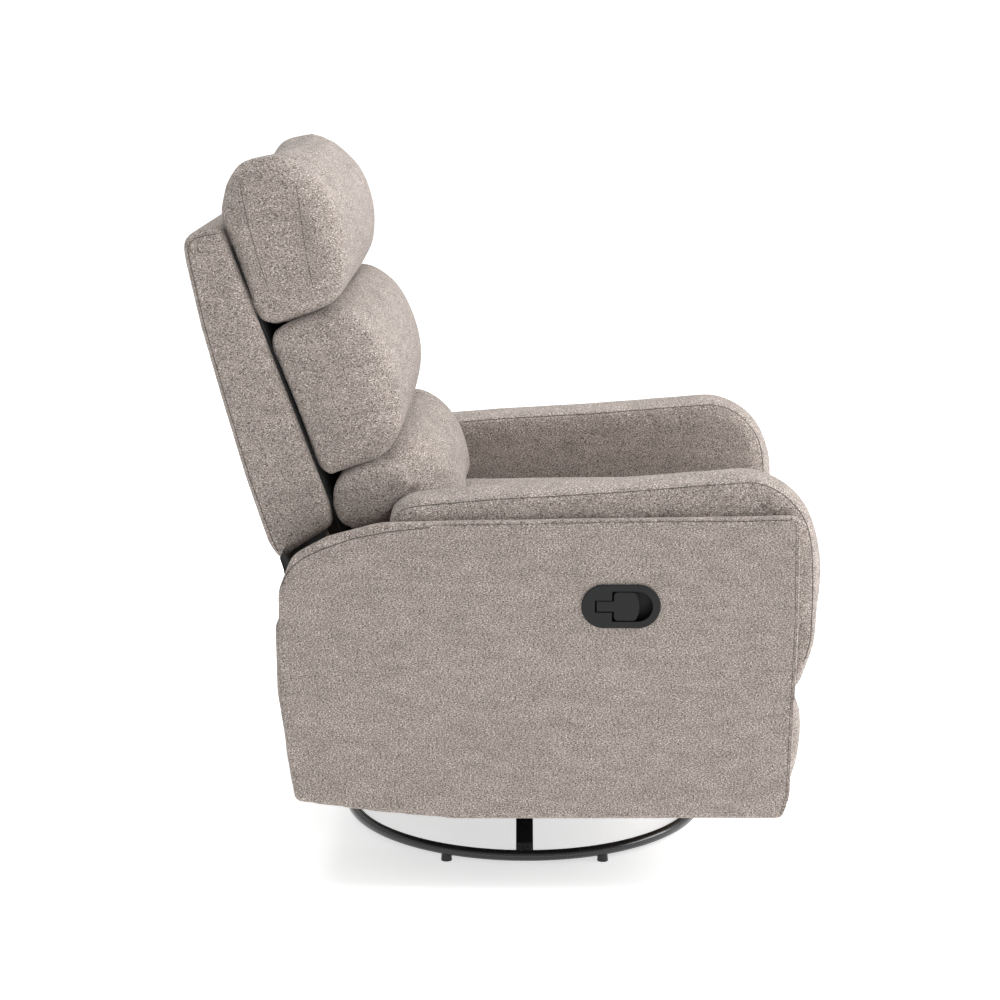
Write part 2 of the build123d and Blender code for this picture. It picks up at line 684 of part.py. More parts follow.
def rivets(centre):
    """A pair of rivets: each is fast in the inner bar and its head stands outside the outer bar."""
    for _, sign in sides:
        rod(centre, foot_rivet, sign * foot_lower_x[0], sign * (foot_upper_x[1] + side_play))
        rod(centre, rivet_head, sign * (foot_upper_x[1] + side_play), sign * (foot_upper_x[1] + head_thick))


with BuildPart() as footrest_elbow_rivets:
    rivets(foot_elbow)
save(footrest_elbow_rivets, "footrest_elbow_rivets")

with BuildPart() as footrest_board_rivets:
    rivets(foot_hinge)
save(footrest_board_rivets, "footrest_board_rivets")

board_rear, board_front = 316.0, 328.0
foot_bracket_outline = [
    (foot_hinge[0] - 12, foot_hinge[1] - 10), (foot_hinge[0] + 2, foot_hinge[1] - 22), (board_rear, 170),
    (board_rear, 280), (foot_hinge[0] + 2, foot_hinge[1] + 22), (foot_hinge[0] - 12, foot_hinge[1] + 10),
]
with BuildPart() as footrest_brackets:
    for _, sign in sides:
        slab(foot_bracket_outline, sign * foot_lower_x[0], sign * foot_lower_x[1])
    rod(foot_hinge, foot_rivet, -panel_outer_x, panel_outer_x, Mode.SUBTRACT)
save(footrest_brackets, "footrest_brackets")

foot_half, foot_board_half = 364.0, 352.0
with BuildPart() as footrest_board:
    slab([(board_rear, 138), (board_front, 138), (board_front, 288), (board_rear, 288)],
         -foot_board_half, foot_board_half)
save(footrest_board, "footrest_board")

footrest_outline = [
    (board_front, 129), (352, 129), (372, 150), (382, 186), (384, 230), (381, 268), (370, 291),
    (352, 296), (board_front, 294),
]
with BuildPart() as footrest_pad:
    slab(footrest_outline, -foot_half, foot_half)
save(footrest_pad, "footrest_pad")
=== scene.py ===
# %% [markdown]
# # A swivel glider recliner, covered in heathered chenille
# The chair is a steel base with a timber and steel seat frame on it, and everything that is touched is
# padded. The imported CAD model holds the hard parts, and it is loaded first as a fixed frame. Each padded
# part is then sewn around it in this script, takes the place of its plain CAD solid, and rides on the same
# body, so that the chair still swivels, glides and reclines.

# %% Load the frame
import bpy
import json
from math import exp, sqrt, tan
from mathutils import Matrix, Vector
from mathutils.bvhtree import BVHTree
from mathutils.kdtree import KDTree


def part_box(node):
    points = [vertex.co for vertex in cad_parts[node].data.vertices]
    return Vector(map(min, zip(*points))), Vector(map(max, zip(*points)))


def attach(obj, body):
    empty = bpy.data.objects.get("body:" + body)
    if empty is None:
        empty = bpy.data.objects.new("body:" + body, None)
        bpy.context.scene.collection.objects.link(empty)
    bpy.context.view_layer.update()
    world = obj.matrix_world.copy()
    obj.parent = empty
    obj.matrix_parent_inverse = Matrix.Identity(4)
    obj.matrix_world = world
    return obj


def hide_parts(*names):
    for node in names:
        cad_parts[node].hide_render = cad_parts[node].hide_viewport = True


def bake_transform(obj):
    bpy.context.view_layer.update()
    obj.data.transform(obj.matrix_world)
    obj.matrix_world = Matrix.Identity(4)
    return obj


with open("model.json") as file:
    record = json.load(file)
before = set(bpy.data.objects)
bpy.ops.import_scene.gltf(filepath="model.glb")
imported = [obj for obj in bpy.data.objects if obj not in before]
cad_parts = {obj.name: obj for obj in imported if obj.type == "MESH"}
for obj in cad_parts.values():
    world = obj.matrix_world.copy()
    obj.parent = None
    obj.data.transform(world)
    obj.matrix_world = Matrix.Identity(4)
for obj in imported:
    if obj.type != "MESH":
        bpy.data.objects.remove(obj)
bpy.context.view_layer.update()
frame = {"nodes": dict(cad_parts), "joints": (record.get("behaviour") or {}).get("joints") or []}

# %% [markdown]
# A side view is the natural drawing of this chair, so outlines are written in millimetres as (forward, up):
# forward of the swivel's axis, and above the floor. The axis itself is read from the frame's swivel joint.

# %% Places and units
MM = 0.001
swivel = next(joint for joint in frame["joints"] if joint["name"] == "swivel")
axis_y = swivel["pos_m"][1]


def at(forward, up):
    """A point of the side view as metres along Y and Z. The sitter faces -Y."""
    return axis_y - forward * MM, up * MM


def half_width(node):
    """How far a CAD node reaches to each side of the middle, in millimetres."""
    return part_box(node)[1].x / MM


def deselect():
    bpy.ops.object.select_all(action="DESELECT")


def pick(piece):
    """Makes one object the only selected one, and the active one."""
    deselect()
    piece.select_set(True)
    bpy.context.view_layer.objects.active = piece


def apply_modifier(piece, kind, **settings):
    """Adds a modifier with these settings and applies it at once."""
    pick(piece)
    modifier = piece.modifiers.new(kind.lower(), kind)
    for key, value in settings.items():
        setattr(modifier, key, value)
    bpy.ops.object.modifier_apply(modifier=modifier.name)


print("the swivel's axis is at y =", axis_y)

# %% [markdown]
# Cushions have no straight lines, so their outlines are smooth curves through a few points. A Catmull-Rom
# curve passes through every point that it is given, which makes it easy to draw to a measured shape. Boards
# and panels have straight edges with rounded corners instead, so theirs are polygons with an arc at each
# corner.

# %% Drawing outlines
def smooth_loop(points, per_span=4):
    """A closed smooth outline through the points."""
    loop = []
    for i in range(len(points)):
        a, b, c, d = (Vector(points[(i + k - 1) % len(points)]) for k in range(4))
        for step in range(per_span):
            t = step / per_span
            curve = 2 * b + (c - a) * t
            curve += (2 * a - 5 * b + 4 * c - d) * t ** 2
            curve += (3 * b - a - 3 * c + d) * t ** 3
            loop.append(curve / 2)
    return loop


def rounded_corners(points, steps=4):
    """A closed outline of straight edges. Each point is (forward, up, radius of its corner)."""
    loop = []
    for i, (forward, up, radius) in enumerate(points):
        corner = Vector((forward, up))
        before = (Vector(points[i - 1][:2]) - corner).normalized()
        after = (Vector(points[(i + 1) % len(points)][:2]) - corner).normalized()
        if radius == 0:
            loop.append(corner)
            continue
        half_angle = before.angle(after) / 2
        reach = radius / tan(half_angle)
        start, end = corner + before * reach, corner + after * reach
        for step in range(steps + 1):
            t = step / steps
            loop.append(start * (1 - t) ** 2 + corner * 2 * t * (1 - t) + end * t ** 2)
    return loop


def outward(loop):
    """The direction out of a closed outline at each of its points."""
    turn = sum(a.cross(b) for a, b in zip(loop, loop[1:] + loop[:1]))
    side = 1 if turn > 0 else -1
    found = []
    for i, point in enumerate(loop):
        run = loop[(i + 1) % len(loop)] - loop[i - 1]
        found.append(Vector((run.y, -run.x)).normalized() * side)
    return found


# %% [markdown]
# Every padded part of this chair has the same build: two side panels, and a long strip of cloth that goes
# round between them. So each one starts as a disc that is given the outline of the side view, and is then
# extruded across the chair in steps. After that each section is shaped: fuller in the middle, and drawn in
# with a rounded edge where the strip meets the side panels.

# %% Cutting and shaping a cover
def cut_out(name, loop, x_from, x_to, steps=1):
    """A closed form with a side-view outline, extruded across the chair in equal steps."""
    deselect()
    bpy.ops.mesh.primitive_circle_add(vertices=len(loop), radius=1, fill_type="NGON")
    piece = bpy.context.object
    piece.name = piece.data.name = name
    for vertex, (forward, up) in zip(piece.data.vertices, loop):
        vertex.co = (x_from * MM, *at(forward, up))
    stride = (x_to - x_from) * MM / steps
    bpy.ops.object.mode_set(mode="EDIT")
    bpy.ops.mesh.select_all(action="SELECT")
    for _ in range(steps):
        bpy.ops.mesh.extrude_region_move(TRANSFORM_OT_translate={"value": (stride, 0, 0)})
    bpy.ops.mesh.select_all(action="SELECT")
    bpy.ops.mesh.normals_make_consistent(inside=False)
    bpy.ops.object.mode_set(mode="OBJECT")
    return piece


def sewn_form(name, middle, side, x_from, x_to, edge, fullness=2.5, steps=36, tuck=None, side_from=1.0):
    """A cushion's cover: the middle's outline runs into the side's, and the edges are round.

    edge is the radius of the rounding, in millimetres, one number or one for each point.
    tuck(point, across) is how far the cloth is pulled in at a place, across being 0 in the middle.
    side_from is the share of the half width from which the section is the side's outline.
    """
    piece = cut_out(name, middle, x_from, x_to, steps)
    centre, half = (x_from + x_to) / 2, abs(x_to - x_from) / 2
    edges = edge if isinstance(edge, list) else [edge] * len(middle)
    normals = outward(side)
    drawn = KDTree(len(middle))
    for i, point in enumerate(middle):
        drawn.insert((0, *at(*point)), i)
    drawn.balance()
    for vertex in piece.data.vertices:
        _, i, _ = drawn.find((0, vertex.co.y, vertex.co.z))
        share = (vertex.co.x / MM - centre) / half
        reach = abs(share) ** 0.6 if abs(share) < 1 else 1.0
        across = (1 if share > 0 else -1) * min(reach, 1.0)
        from_end = half * (1 - abs(across))
        radius = edges[i]
        short = max(radius - from_end, 0)
        drawn_in = radius - sqrt(radius ** 2 - short ** 2) if radius else 0
        if tuck:
            drawn_in += tuck(side[i], abs(across))
        toward_side = min(abs(across) / side_from, 1.0) ** fullness
        section = middle[i].lerp(side[i], toward_side) - normals[i] * drawn_in
        vertex.co = ((centre + half * across) * MM, *at(*section))
    return piece


# %% [markdown]
# Stuffing gives a cushion its look: the cloth swells between the seams, and small folds gather at them. A
# cloth simulation with air pressure inside does this well. The cover is first remeshed into even squares, so
# that the cloth behaves the same everywhere, and the points on its seams are pinned. Cloth that swells too
# far is held back by a cap, so that the cushion keeps its measured size. One subdivision then smooths it.

# %% Stuffing a cover
scene = bpy.context.scene
CLOTH_FRAMES = 20


def near(piece, points, reach):
    """The numbers of the vertices that lie within reach of any of the points."""
    tree = KDTree(len(piece.data.vertices))
    for vertex in piece.data.vertices:
        tree.insert(vertex.co, vertex.index)
    tree.balance()
    return {index for point in points for _, index, _ in tree.find_range(point, reach)}


def stuff(piece, voxel=6.0, cap=10.0, seams=(), held=None, pressure=4.0, soften=4):
    """Fills a cover. seams are points that stay, and held(x, y, z) says what rests on something."""
    apply_modifier(piece, "REMESH", mode="VOXEL", voxel_size=voxel * MM)
    apply_modifier(piece, "SMOOTH", factor=0.5, iterations=soften)
    if cap:
        rest = [vertex.co.copy() for vertex in piece.data.vertices]
        pinned = near(piece, seams, 0.7 * voxel * MM)
        if held:
            pinned |= {vertex.index for vertex in piece.data.vertices if held(*vertex.co)}
        piece.vertex_groups.new(name="seams").add(sorted(pinned), 1.0, "REPLACE")
        cloth = piece.modifiers.new("stuffing", "CLOTH")
        cloth.settings.vertex_group_mass = "seams"
        cloth.settings.use_pressure = True
        cloth.settings.uniform_pressure_force = pressure
        cloth.settings.effector_weights.gravity = 0.0
        for number in range(1, CLOTH_FRAMES + 1):
            scene.frame_set(number)
        pick(piece)
        bpy.ops.object.modifier_apply(modifier=cloth.name)
        for vertex, start in zip(piece.data.vertices, rest):
            move = vertex.co - start
            if move.length > cap * MM:
                vertex.co = start + move.normalized() * cap * MM
        piece.vertex_groups.clear()
        scene.frame_set(1)
        apply_modifier(piece, "SMOOTH", factor=0.5, iterations=2)
    apply_modifier(piece, "SUBSURF", levels=1, render_levels=1)
    bpy.ops.object.shade_smooth()
    print(piece.name, "has", len(piece.data.polygons), "faces")


# %% [markdown]
# Seams and welts are lines on the finished surface. Each one is drawn roughly, every point is then moved to
# the nearest point of the cushion, and a thin tube follows them. A seam is a sunken line of thread, coloured
# dark as painted shade of its groove, and a welt is a covered cord that stands proud, so they differ only in
# thickness, depth and finish.

# %% Laying a line on a surface
def lay_line(name, piece, points, radius, sink):
    """A thin tube along points moved onto a piece. sink is how deep its centre lies, in millimetres."""
    pick(piece)
    tree = BVHTree.FromObject(piece, bpy.context.evaluated_depsgraph_get())
    curve = bpy.data.curves.new(name, "CURVE")
    curve.dimensions = "3D"
    curve.bevel_depth = radius * MM
    curve.bevel_resolution = 1
    line = curve.splines.new("NURBS")
    line.points.add(len(points) - 1)
    for spot, point in zip(line.points, points):
        place, normal, _, _ = tree.find_nearest(point)
        spot.co = (*(place - normal * sink * MM), 1)
    line.order_u = 3
    line.use_endpoint_u = True
    line.resolution_u = 2
    tube = bpy.data.objects.new(name, curve)
    scene.collection.objects.link(tube)
    pick(tube)
    bpy.ops.object.convert(target="MESH")
    bpy.ops.object.shade_smooth()
    return tube


def side_points(points, x):
    """Side-view points as places at a distance across the chair."""
    return [Vector((x * MM, *at(*point))) for point in points]


def dense(points, gap=8.0):
    """The same line with points no further apart than the gap, in millimetres."""
    found = []
    for start, end in zip(points, points[1:]):
        start, end = Vector(start), Vector(end)
        count = max(1, round((end - start).length / gap))
        found += [start.lerp(end, step / count) for step in range(count)]
    return found + [Vector(points[-1])]


# %% [markdown]
# The cloth is a chenille: short pile in warm grey, with darker and lighter yarns twisted in, which gives
# flecks a few millimetres long that lie slightly level. It is one node group, because every cover, welt and
# seam uses it. Four noises make it: dark flecks, light flecks, fine grain, and a slow drift of tone across
# the cloth. The group puts out colour, roughness and height, and each material adds its own constants on the
# shader.

# %% The chenille node group
def socket(group, name, direction, kind, value=None):
    """A named input or output on a node group, with its usual value if it is an input."""
    made = group.interface.new_socket(name=name, in_out=direction, socket_type=kind)
    if value is not None:
        made.default_value = value
    return made


chenille = bpy.data.node_groups.new("chenille", "ShaderNodeTree")
socket(chenille, "Dark yarn", "INPUT", "NodeSocketColor", (0.095, 0.076, 0.065, 1))
socket(chenille, "Main yarn", "INPUT", "NodeSocketColor", (0.315, 0.268, 0.240, 1))
socket(chenille, "Light yarn", "INPUT", "NodeSocketColor", (0.700, 0.635, 0.590, 1))
socket(chenille, "Fleck size", "INPUT", "NodeSocketFloat", 1.0)
socket(chenille, "Colour", "OUTPUT", "NodeSocketColor")
socket(chenille, "Roughness", "OUTPUT", "NodeSocketFloat")
socket(chenille, "Height", "OUTPUT", "NodeSocketFloat")


def add_node(tree, kind, inputs=None, **settings):
    """Adds a shader node, sets its options and the values of its named or numbered inputs."""
    node = tree.nodes.new("ShaderNode" + kind)
    for key, value in settings.items():
        setattr(node, key, value)
    for key, value in (inputs or {}).items():
        node.inputs[key].default_value = value
    return node


def ramp(tree, source, stops):
    """A colour ramp on a value: stops are (position, grey or colour)."""
    node = add_node(tree, "ValToRGB")
    elements = node.color_ramp.elements
    while len(elements) < len(stops):
        elements.new(0.5)
    for element, (position, colour) in zip(elements, stops):
        element.position = position
        element.color = colour if isinstance(colour, tuple) else (colour, colour, colour, 1)
    tree.links.new(source, node.inputs["Fac"])
    return node.outputs["Color"]


def noise(tree, vector, scale, detail=2.0, roughness=0.5):
    """A noise texture's value at the places given, scale being in features per metre."""
    node = add_node(tree, "TexNoise", {"Scale": scale, "Detail": detail, "Roughness": roughness})
    tree.links.new(vector, node.inputs["Vector"])
    return node.outputs["Fac"]


def feed(tree, node, key, source):
    """Links a socket to a node's input, or writes a plain value in it."""
    if isinstance(source, bpy.types.NodeSocket):
        tree.links.new(source, node.inputs[key])
    else:
        node.inputs[key].default_value = source


def blend_colours(tree, factor, first, second, mode="MIX"):
    """A mix of two colours. A Mix node's colours are its inputs 6 and 7, and its output 2."""
    node = add_node(tree, "Mix", data_type="RGBA", blend_type=mode)
    for key, source in ((0, factor), (6, first), (7, second)):
        feed(tree, node, key, source)
    return node.outputs[2]


def calculate(tree, operation, first, second):
    node = add_node(tree, "Math", operation=operation)
    for key, source in ((0, first), (1, second)):
        feed(tree, node, key, source)
    return node.outputs[0]


given = chenille.nodes.new("NodeGroupInput")
result = chenille.nodes.new("NodeGroupOutput")
cloth_place = add_node(chenille, "TexCoord").outputs["Object"]
level = add_node(chenille, "Mapping", inputs={"Scale": (1.0, 1.0, 1.9)})
sized = add_node(chenille, "VectorMath", operation="SCALE")
chenille.links.new(cloth_place, sized.inputs[0])
chenille.links.new(given.outputs["Fleck size"], sized.inputs["Scale"])
chenille.links.new(sized.outputs[0], level.inputs["Vector"])
yarn_place = level.outputs["Vector"]

flecks = noise(chenille, yarn_place, 360.0, 3.0, 0.62)
grain = noise(chenille, yarn_place, 800.0, 1.0, 0.5)
light_flecks = noise(chenille, yarn_place, 460.0, 2.0, 0.6)
banded = add_node(chenille, "Mapping", inputs={"Scale": (1.0, 1.0, 3.2)})
chenille.links.new(cloth_place, banded.inputs["Vector"])
drift = noise(chenille, banded.outputs["Vector"], 24.0, 4.0, 0.62)

dark_share = ramp(chenille, flecks, [(0.40, 1.0), (0.50, 0.0)])
light_share = ramp(chenille, light_flecks, [(0.56, 0.0), (0.64, 1.0)])
body_tone = blend_colours(chenille, dark_share, given.outputs["Main yarn"], given.outputs["Dark yarn"])
two_tone = blend_colours(chenille, light_share, body_tone, given.outputs["Light yarn"])
grain_tone = ramp(chenille, grain, [(0.3, 0.66), (0.7, 1.30)])
grained = blend_colours(chenille, 1.0, two_tone, grain_tone, "MULTIPLY")
drift_tone = ramp(chenille, drift, [(0.3, 0.84), (0.7, 1.10)])
toned = blend_colours(chenille, 1.0, grained, drift_tone, "MULTIPLY")
chenille.links.new(toned, result.inputs["Colour"])
pile_height = calculate(chenille, "ADD", flecks, calculate(chenille, "MULTIPLY", grain, 0.6))
chenille.links.new(pile_height, result.inputs["Height"])
rough = calculate(chenille, "ADD", calculate(chenille, "MULTIPLY", flecks, 0.2), 0.78)
chenille.links.new(rough, result.inputs["Roughness"])
print("the chenille group has", len(chenille.nodes), "nodes")


# %% [markdown]
# The covers and the sewing thread are both chenille here. The thread's yarns are darker, because a seam is
# seen as the shadow in its groove more than as thread. Every other material is made with the same helpers.

# %% Materials in chenille
def new_material(name):
    """A material with only a Principled shader and its output. Returns it, its tree and the shader."""
    material = bpy.data.materials.new(name)
    material.use_nodes = True
    tree = material.node_tree
    shader = tree.nodes["Principled BSDF"]
    return material, tree, shader


def set_inputs(shader, values):
    """Writes constants in a shader's own inputs."""
    for key, value in values.items():
        shader.inputs[key].default_value = value


def bump(tree, shader, height, strength, depth):
    """Relief from a height, its full depth being given in millimetres."""
    node = add_node(tree, "Bump", inputs={"Strength": strength, "Distance": depth * MM})
    tree.links.new(height, node.inputs["Height"])
    tree.links.new(node.outputs["Normal"], shader.inputs["Normal"])


def chenille_material(name, colours=None, relief=0.7):
    material, tree, shader = new_material(name)
    group = tree.nodes.new("ShaderNodeGroup")
    group.node_tree = chenille
    for key, value in (colours or {}).items():
        group.inputs[key].default_value = value
    tree.links.new(group.outputs["Colour"], shader.inputs["Base Color"])
    tree.links.new(group.outputs["Roughness"], shader.inputs["Roughness"])
    set_inputs(shader, {"Sheen Weight": 0.12, "Sheen Roughness": 0.5, "Specular IOR Level": 0.15})
    bump(tree, shader, group.outputs["Height"], relief, 1.0)
    return material


cover_cloth = chenille_material("chenille_cover")
# The seam thread's dark yarns are painted shade: they stand for the shadow in each seam's groove.
seam_thread_painted_shade = chenille_material("seam_thread_painted_shade", {
    "Dark yarn": (0.060, 0.048, 0.043, 1),
    "Main yarn": (0.125, 0.105, 0.095, 1),
    "Light yarn": (0.240, 0.210, 0.190, 1),
}, relief=0.4)


def finish_piece(piece, body, slot, material, *nodes):
    """Gives a piece its finish and its body, and hides the CAD nodes that it stands for. The slot is not
    used.
    """
    piece.data.materials.clear()
    piece.data.materials.append(material)
    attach(piece, body)
    if nodes:
        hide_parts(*nodes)
    return piece


# %% [markdown]
# ## Hard finishes
# The CAD nodes keep their own meshes and only get a finish. The ring, spokes and mechanism are steel with a
# black powder coat: a fine orange-peel texture and a soft gloss. Bolts and bearings are zinc plated, the
# rails are plain softwood, and the latch is a moulded black plastic.

# %% Wear and grain group
coat = bpy.data.node_groups.new("surface_texture", "ShaderNodeTree")
socket(coat, "Tone", "INPUT", "NodeSocketColor", (0.02, 0.02, 0.02, 1))
socket(coat, "Grain size", "INPUT", "NodeSocketFloat", 900.0)
socket(coat, "Gloss", "INPUT", "NodeSocketFloat", 0.3)
socket(coat, "Colour", "OUTPUT", "NodeSocketColor")
socket(coat, "Roughness", "OUTPUT", "NodeSocketFloat")
socket(coat, "Height", "OUTPUT", "NodeSocketFloat")
coat_given = coat.nodes.new("NodeGroupInput")
coat_result = coat.nodes.new("NodeGroupOutput")
coat_place = add_node(coat, "TexCoord").outputs["Object"]
peel = add_node(coat, "TexNoise", inputs={"Detail": 2.0, "Roughness": 0.55})
coat.links.new(coat_place, peel.inputs["Vector"])
coat.links.new(coat_given.outputs["Grain size"], peel.inputs["Scale"])
smudges = noise(coat, coat_place, 22.0, 4.0, 0.6)
smudge_tone = ramp(coat, smudges, [(0.35, 0.88), (0.7, 1.18)])
coat.links.new(blend_colours(coat, 1.0, coat_given.outputs["Tone"], smudge_tone, "MULTIPLY"),
               coat_result.inputs["Colour"])
uneven = calculate(coat, "MULTIPLY", calculate(coat, "SUBTRACT", smudges, 0.5), 0.35)
coat.links.new(calculate(coat, "ADD", coat_given.outputs["Gloss"], uneven), coat_result.inputs["Roughness"])
coat.links.new(peel.outputs["Fac"], coat_result.inputs["Height"])


def hard_material(name, tone, gloss, grain_size, relief, constants):
    """A coated, plated or moulded finish from the surface texture group."""
    material, tree, shader = new_material(name)
    group = tree.nodes.new("ShaderNodeGroup")
    group.node_tree = coat
    group.inputs["Tone"].default_value = (*tone, 1)
    group.inputs["Gloss"].default_value = gloss
    group.inputs["Grain size"].default_value = grain_size
    tree.links.new(group.outputs["Colour"], shader.inputs["Base Color"])
    tree.links.new(group.outputs["Roughness"], shader.inputs["Roughness"])
    set_inputs(shader, constants)
    bump(tree, shader, group.outputs["Height"], relief, 0.3)
    return material


black_steel = hard_material("black_powder_coat", (0.014, 0.014, 0.015), 0.28, 700.0, 0.12,
                            {"Coat Weight": 0.4, "Coat Roughness": 0.15})
zinc_steel = hard_material("zinc_plate", (0.56, 0.56, 0.54), 0.34, 400.0, 0.1, {"Metallic": 1.0})
black_plastic = hard_material("latch_plastic", (0.010, 0.010, 0.0105), 0.50, 1500.0, 0.25,
                              {"Specular IOR Level": 0.25})
glide_plastic = hard_material("glide_plastic", (0.022, 0.022, 0.022), 0.55, 900.0, 0.3, {})
dust_cloth = hard_material("dust_cloth", (0.012, 0.012, 0.012), 0.92, 1400.0, 0.8, {"Sheen Weight": 0.1})

# %% [markdown]
# ## The three back pillows
# Each pillow is a fat bolster that is sewn shut along its sides. Seen from the side its end is a broad,
# nearly flat gusset, and the middle stands further forward. So two outlines with matching points draw each
# one: the gusset's, and the middle's.

# %% Headrest pillow
headrest_half = half_width("headrest_pillow")
headrest_middle = smooth_loop([
    (-392, 994), (-368, 1004), (-344, 1012), (-320, 1021), (-297, 1028), (-280, 1010), (-259, 982),
    (-245, 950), (-237, 915), (-238, 882), (-246, 852), (-261, 828), (-290, 808), (-325, 797),
    (-350, 795), (-370, 816), (-388, 866), (-402, 912), (-411, 946), (-408, 982),
])
headrest_side = smooth_loop([
    (-400, 1004), (-390, 1018), (-366, 1026), (-342, 1028), (-317, 1015), (-291, 994), (-271, 970),
    (-260, 938), (-252, 908), (-246, 878), (-247, 850), (-261, 827), (-290, 811), (-320, 799),
    (-348, 789), (-371, 810), (-390, 866), (-404, 912), (-413, 948), (-409, 982),
])


crease_depth, crease_across, crease_width = 8.0, 0.80, 0.07


def headrest_tuck(point, across):
    """The crease on the pillow's top, where its crown meets the gusset's ear.

    It fades in between the heights 975 and 1010.
    """
    on_top = min(max((point.y - 975) / 35, 0), 1) * (point.x > -375)
    return crease_depth * on_top * exp(-((across - crease_across) / crease_width) ** 2)


headrest_seams = [
    [(-386, 985), (-375, 930), (-363, 885), (-351, 848)],
    [(-309, 985), (-303, 930), (-296, 880), (-289, 845)],
]
tight_edge, soft_edge = 9.0, 26.0
headrest_edges = [tight_edge if point.x < -355 and point.y < 960 else soft_edge for point in headrest_side]
headrest = sewn_form("headrest_cover", headrest_middle, headrest_side, -headrest_half, headrest_half,
                     headrest_edges, tuck=headrest_tuck)
stuff(headrest, cap=5.0, seams=[spot for run in headrest_seams for sign in (-1, 1)
                                for spot in side_points(dense(run, 3), sign * headrest_half)])
finish_piece(headrest, "back", "upholstery", cover_cloth, "headrest_pillow")

# %% [markdown]
# The middle pillow is made in the same way. Its rear edge and its lower corner are tight, because they are
# stapled against the shell, and its front edge is soft.

# %% Middle pillow
middle_half = half_width("middle_pillow")
middle_middle = smooth_loop([
    (-344, 778), (-330, 794), (-292, 814), (-256, 834), (-231, 826), (-205, 802), (-185, 770), (-170, 730),
    (-165, 694), (-171, 655), (-186, 622), (-207, 601), (-232, 590), (-262, 585), (-282, 600), (-299, 640),
    (-318, 690), (-337, 740),
])
middle_side = smooth_loop([
    (-352, 768), (-349, 788), (-312, 801), (-284, 812), (-258, 813), (-232, 798), (-208, 768), (-192, 730),
    (-182, 690), (-176, 655), (-188, 624), (-207, 605), (-236, 592), (-264, 582), (-284, 586), (-303, 632),
    (-323, 686), (-342, 738),
])
stapled_edge = 8.0


def middle_edge(point):
    """The rounding at a point of the middle pillow's side."""
    stapled = point.x < -300 or (point.x < -260 and point.y < 640)
    return stapled_edge if stapled else soft_edge


middle_edges = [middle_edge(point) for point in middle_side]
middle_pillow = sewn_form("middle_cover", middle_middle, middle_side, -middle_half, middle_half,
                          middle_edges)
stuff(middle_pillow, cap=5.0)
finish_piece(middle_pillow, "back", "upholstery", cover_cloth, "middle_pillow")

# %% [markdown]
# The lumbar pillow fills the width between the arms, and only its two ears reach out behind them. Its
# sections therefore change quickly beside the arms: a high power in the fullness does that, and the side's
# outline is reached where the arms begin, at 86 % of the half width.

# %% Lumbar pillow
lumbar_half = half_width("lumbar_pillow")
lumbar_middle = smooth_loop([
    (-268, 566), (-262, 580), (-246, 590), (-216, 600), (-194, 620), (-173, 634), (-148, 628), (-122, 605),
    (-104, 572), (-92, 534), (-89, 503), (-96, 480), (-160, 477), (-228, 480), (-238, 508), (-255, 535),
])
lumbar_side = smooth_loop([
    (-270, 560), (-264, 578), (-248, 589), (-230, 597), (-210, 602), (-190, 604), (-174, 598), (-164, 586),
    (-162, 574), (-172, 560), (-184, 546), (-192, 528), (-212, 514), (-238, 507), (-260, 516), (-270, 538),
])
lumbar = sewn_form("lumbar_cover", lumbar_middle, lumbar_side, -lumbar_half, lumbar_half, 10.0, fullness=6.0,
                    side_from=0.86)
stuff(lumbar, cap=5.0)
finish_piece(lumbar, "back", "upholstery", cover_cloth, "lumbar_pillow")

# %% [markdown]
# ## The back's shell
# Behind the pillows is a flat upholstered shell: a board with thin padding under tight cloth. Its sides and
# top are straight with a small rounding, so its outline is a polygon with arcs. It hardly swells.

# %% Back shell
shell_half = half_width("back_border")
shell_outline = rounded_corners([
    (-341, 463, 7), (-358, 487, 30), (-388, 580, 200), (-419, 693, 200), (-445, 793, 200), (-463, 880, 60),
    (-467, 908, 14), (-452, 922, 10), (-414, 929, 12), (-402, 900, 60), (-270, 542, 20), (-268, 514, 10),
    (-300, 494, 40), (-327, 476, 30),
])
shell = sewn_form("shell_cover", shell_outline, shell_outline, -shell_half, shell_half, 8.0)
stuff(shell, cap=0.0)
finish_piece(shell, "back", "upholstery", cover_cloth, "back_border", "back_rear_panel")

# %% [markdown]
# ## The arms
# An arm is one thick pad over a timber board. A strip of cloth runs along its top and down its front,
# between an inner and an outer panel, and both seams lie just under the crown. The strip is domed across, so
# the side's outline is the middle's, drawn in by a few millimetres.

# %% Arms
arm_crown = [
    (-180, 551), (-163, 560), (-130, 565), (-35, 573), (100, 581), (240, 592), (302, 596), (335, 591),
    (366, 575), (390, 548), (402, 515), (407, 470), (408, 410), (405, 358), (396, 328), (386, 300),
]
arm_foot = [(374, 291), (350, 294), (344, 310), (344, 396), (80, 396), (-189, 396), (-191, 470), (-189, 534)]
arm_middle = smooth_loop(arm_crown + arm_foot)
top_drop, front_drop = 3.0, 10.0
arm_inner, arm_outer = 268.0, 368.0


def crown_drop(point):
    """How far the strip's edge lies inside its middle: little along the top, more down the front.

    Below 540 and behind 370 is the arm's rear and underside, where there is no strip.
    """
    if point.y < 540 and point.x < 370:
        return 0.0
    return top_drop + (front_drop - top_drop) * min(max((point.x - 320) / 60, 0), 1)


arm_side = [point - normal * crown_drop(point) for point, normal in zip(arm_middle, outward(arm_middle))]
arms = {}
for side, sign in (("right", -1), ("left", 1)):
    arm = sewn_form(f"arm_cover_{side}", arm_middle, arm_side, sign * arm_inner, sign * arm_outer, 5.0,
                    steps=16)
    stuff(arm, cap=3.0)
    finish_piece(arm, "seat_frame", "upholstery", cover_cloth, f"arm_top_pad_{side}", "arm_inner_pads",
                 "arm_front_pads")
    arms[side] = arm

